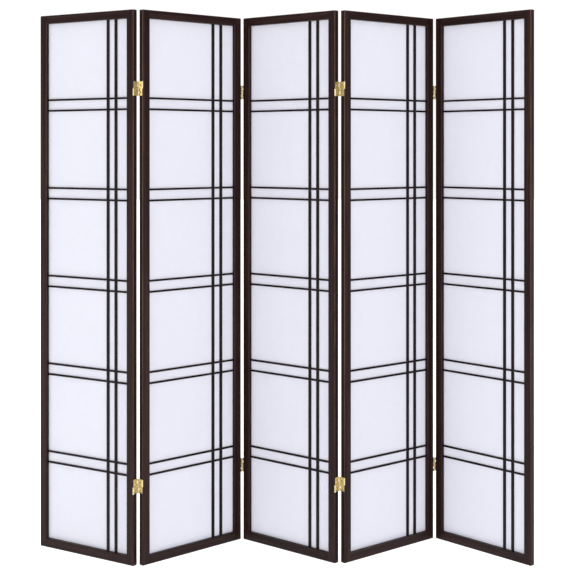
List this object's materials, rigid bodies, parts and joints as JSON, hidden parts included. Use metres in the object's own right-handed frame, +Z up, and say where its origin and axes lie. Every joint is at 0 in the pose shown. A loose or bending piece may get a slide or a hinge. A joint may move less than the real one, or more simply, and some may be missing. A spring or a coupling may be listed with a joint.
{
  "type": "folding room divider",
  "caption": "Free-standing folding screen of tall wood-framed panels with a thin bar lattice over translucent paper, joined by brass double-action hinges.",
  "frame": {"origin": "centre of the bounding box on the floor", "axes": "+Z up, -Y is the front that shows the lattice, +X to the right seen from the front"},
  "size_m": [1.6265, 0.3208, 1.778],
  "materials": {
    "wood": "espresso stain under satin lacquer",
    "paper": "matt translucent fibre paper",
    "brass": "bright plated"
  },
  "bodies": {
    "panel_1": {"panel_1_left_stile": "wood", "panel_1_right_stile": "wood", "panel_1_top_rail": "wood", "panel_1_bottom_rail": "wood", "panel_1_upright_bars": "wood", "panel_1_cross_bars": "wood", "panel_1_paper": "paper", "panel_1_back_beads": "wood", "panel_1_hinge_leaves": "brass", "panel_1_hinge_links": "brass", "panel_1_hinge_pins": "brass", "panel_1_hinge_screws": "brass"},
    "panel_2": {"panel_2_left_stile": "wood", "panel_2_right_stile": "wood", "panel_2_top_rail": "wood", "panel_2_bottom_rail": "wood", "panel_2_upright_bars": "wood", "panel_2_cross_bars": "wood", "panel_2_paper": "paper", "panel_2_back_beads": "wood", "panel_2_hinge_leaves": "brass", "panel_2_hinge_links": "brass", "panel_2_hinge_pins": "brass", "panel_2_hinge_screws": "brass"},
    "panel_3": {"panel_3_left_stile": "wood", "panel_3_right_stile": "wood", "panel_3_top_rail": "wood", "panel_3_bottom_rail": "wood", "panel_3_upright_bars": "wood", "panel_3_cross_bars": "wood", "panel_3_paper": "paper", "panel_3_back_beads": "wood", "panel_3_hinge_leaves": "brass", "panel_3_hinge_links": "brass", "panel_3_hinge_pins": "brass", "panel_3_hinge_screws": "brass"},
    "panel_4": {"panel_4_left_stile": "wood", "panel_4_right_stile": "wood", "panel_4_top_rail": "wood", "panel_4_bottom_rail": "wood", "panel_4_upright_bars": "wood", "panel_4_cross_bars": "wood", "panel_4_paper": "paper", "panel_4_back_beads": "wood", "panel_4_hinge_leaves": "brass", "panel_4_hinge_links": "brass", "panel_4_hinge_pins": "brass", "panel_4_hinge_screws": "brass"},
    "panel_5": {"panel_5_left_stile": "wood", "panel_5_right_stile": "wood", "panel_5_top_rail": "wood", "panel_5_bottom_rail": "wood", "panel_5_upright_bars": "wood", "panel_5_cross_bars": "wood", "panel_5_paper": "paper", "panel_5_back_beads": "wood", "panel_5_hinge_leaves": "brass", "panel_5_hinge_links": "brass", "panel_5_hinge_pins": "brass", "panel_5_hinge_screws": "brass"}
  },
  "joints": [
    {"name": "fold_1_2", "type": "hinge", "parent": "panel_2", "child": "panel_1", "pos_m": [-0.45459, -0.13829, 0.889], "axis": [0, 0, -1], "range_deg": [-75.5, 102.5]},
    {"name": "fold_2_3", "type": "hinge", "parent": "panel_3", "child": "panel_2", "pos_m": [-0.14178, 0.13082, 0.889], "axis": [0, 0, 1], "range_deg": [-83.4, 90.6]},
    {"name": "fold_3_4", "type": "hinge", "parent": "panel_3", "child": "panel_4", "pos_m": [0.19076, -0.1135, 0.889], "axis": [0, 0, 1], "range_deg": [-80.7, 93.3]},
    {"name": "fold_4_5", "type": "hinge", "parent": "panel_4", "child": "panel_5", "pos_m": [0.5159, 0.14058, 0.889], "axis": [0, 0, -1], "range_deg": [-87.4, 90.6]}
  ]
}
